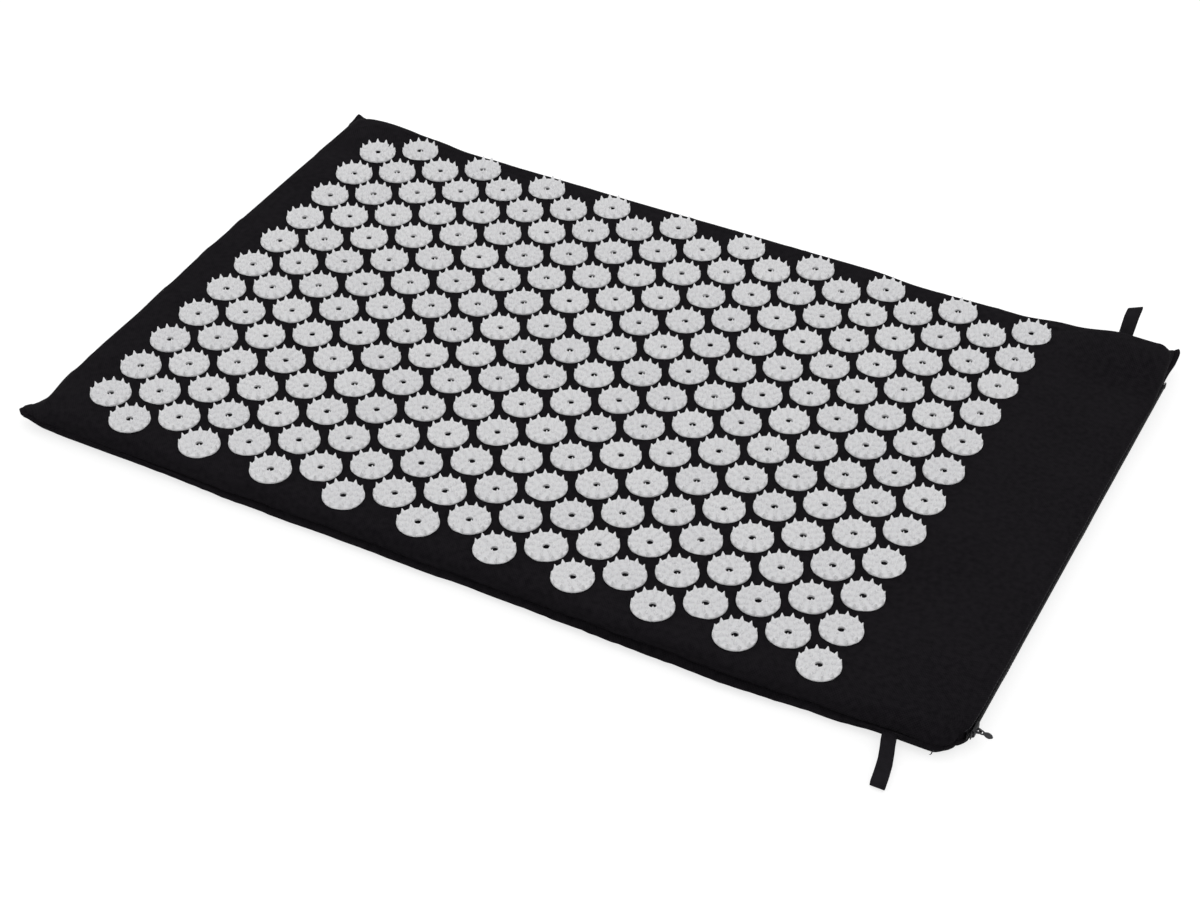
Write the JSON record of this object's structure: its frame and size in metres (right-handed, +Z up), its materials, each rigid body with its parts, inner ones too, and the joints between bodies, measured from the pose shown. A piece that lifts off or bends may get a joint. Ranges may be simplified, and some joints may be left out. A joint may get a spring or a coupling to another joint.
{
  "type": "acupressure mat",
  "caption": "Flat foam mat in a zipped cotton cover with rows of pointed plastic spike discs, a bare head end and two ribbon loops.",
  "frame": {"origin": "on the surface the mat lies on, below the middle of the whole part", "axes": "+X along the mat to its bare head end with the zip, +Y across it to the far long side, +Z up"},
  "size_m": [0.6577, 0.4847, 0.0298],
  "materials": {
    "cotton": "plain-woven black cotton",
    "ribbon": "woven black ribbon",
    "foam": "open-cell grey foam",
    "discs": "moulded cool-white plastic, satin",
    "zip_nylon": "black nylon coil and tape",
    "zip_metal": "dark enamelled zinc"
  },
  "bodies": {
    "mat": {"foam_core": "foam", "top_panel": "cotton", "bottom_panel": "cotton", "zip_tape_upper": "zip_nylon", "zip_tape_lower": "zip_nylon", "zip_coil_upper": "zip_nylon", "zip_coil_lower": "zip_nylon", "zip_top_stop": "zip_metal", "zip_bottom_stop": "zip_metal", "disc_column_01": "discs", "disc_column_02": "discs", "disc_column_03": "discs", "disc_column_04": "discs", "disc_column_05": "discs", "disc_column_06": "discs", "disc_column_07": "discs", "disc_column_08": "discs", "disc_column_09": "discs", "disc_column_10": "discs", "disc_column_11": "discs", "disc_column_12": "discs", "disc_column_13": "discs", "disc_column_14": "discs", "disc_column_15": "discs", "disc_column_16": "discs", "disc_column_17": "discs", "disc_column_18": "discs", "disc_column_19": "discs", "disc_column_20": "discs"},
    "zip_slider": {"zip_slider": "zip_metal"},
    "pull_tab": {"pull_tab": "zip_metal"},
    "near_loop": {"near_loop": "ribbon"},
    "far_loop": {"far_loop": "ribbon"}
  },
  "joints": [
    {"name": "zip_slide", "type": "slide", "parent": "mat", "child": "zip_slider", "axis": [0, 1, 0], "range_m": [0, 0.36]},
    {"name": "pull_tab_swing", "type": "hinge", "parent": "zip_slider", "child": "pull_tab", "pos_m": [0.31817, -0.1803, 0.00891], "axis": [0.1736, 0, 0.9848], "range_deg": [-85, 85]},
    {"name": "near_loop_lift", "type": "hinge", "parent": "mat", "child": "near_loop", "pos_m": [0.27267, -0.20735, 0.00305], "axis": [-1, 0, 0], "range_deg": [0, 88]},
    {"name": "far_loop_lift", "type": "hinge", "parent": "mat", "child": "far_loop", "pos_m": [0.27267, 0.20735, 0.00415], "axis": [1, 0, 0], "range_deg": [-34, 52]}
  ]
}
